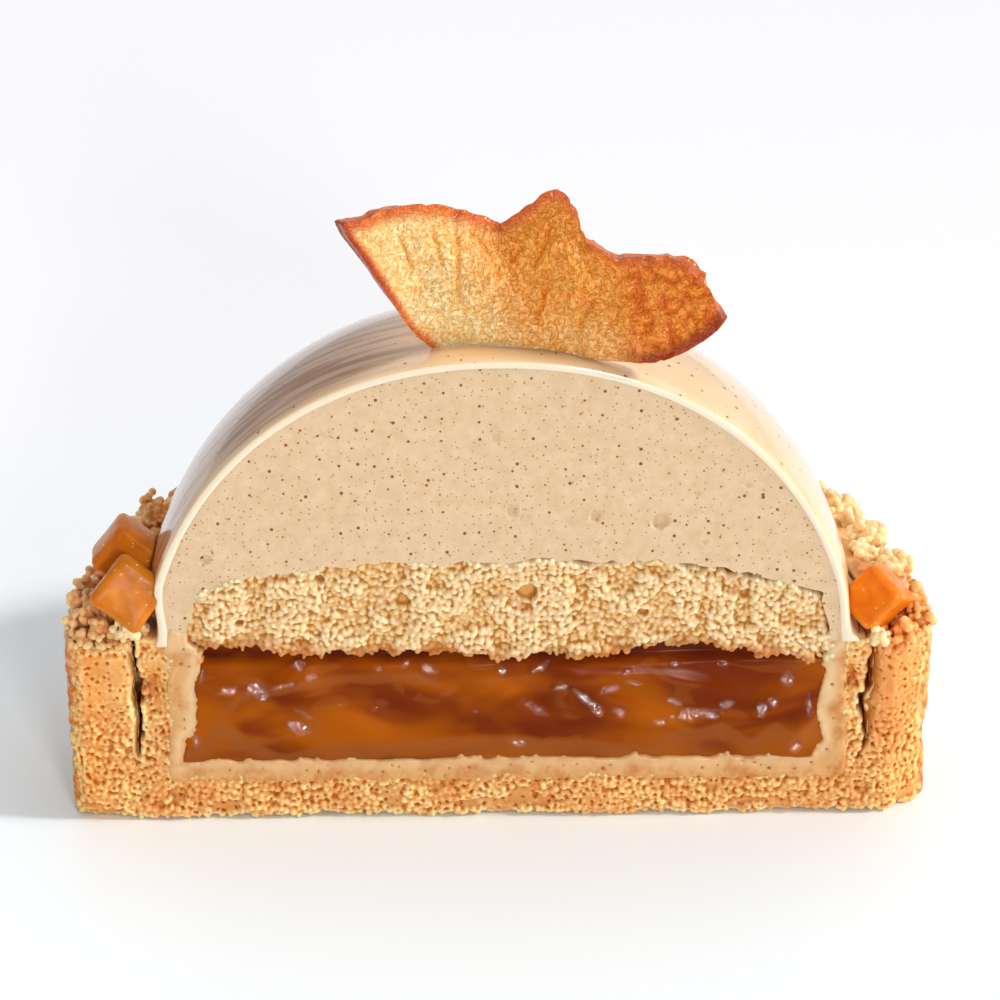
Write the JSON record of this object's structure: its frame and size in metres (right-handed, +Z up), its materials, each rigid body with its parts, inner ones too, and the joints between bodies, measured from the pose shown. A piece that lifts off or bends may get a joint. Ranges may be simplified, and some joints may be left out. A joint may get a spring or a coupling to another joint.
{
  "type": "caramel apple tart",
  "caption": "Round shortcrust tart cut open: caramel and apple, sponge, glazed cinnamon mousse dome, crumble ring, apple cubes and a dried apple slice.",
  "frame": {"origin": "where the tart's axis meets the surface that it stands on", "axes": "+X to the right along the cut face, +Y back from the cut face, +Z up"},
  "size_m": [0.0871, 0.0509, 0.0663],
  "materials": {
    "shortcrust": "baked, crumbly, matt",
    "almond_cream": "baked, smooth, matt",
    "caramel": "wet, glossy, amber brown",
    "sponge": "open crumb, matt",
    "mousse": "set cream with brown cinnamon specks",
    "glaze": "mirror glaze with brown specks",
    "apple": "caramelised, syrupy",
    "crumble": "baked crumbs, matt",
    "dried_apple": "leathery, golden, darker rim"
  },
  "bodies": {
    "root": {"crust": "shortcrust", "cream_lining": "almond_cream", "caramel_apple": "caramel", "sponge": "sponge", "cinnamon_mousse": "mousse", "glaze": "glaze", "apple_cube_01": "apple", "apple_cube_02": "apple", "apple_cube_03": "apple", "apple_cube_04": "apple", "apple_cube_05": "apple", "apple_cube_06": "apple", "apple_cube_07": "apple", "crumble": "crumble", "dried_apple_slice": "dried_apple"}
  },
  "joints": []
}
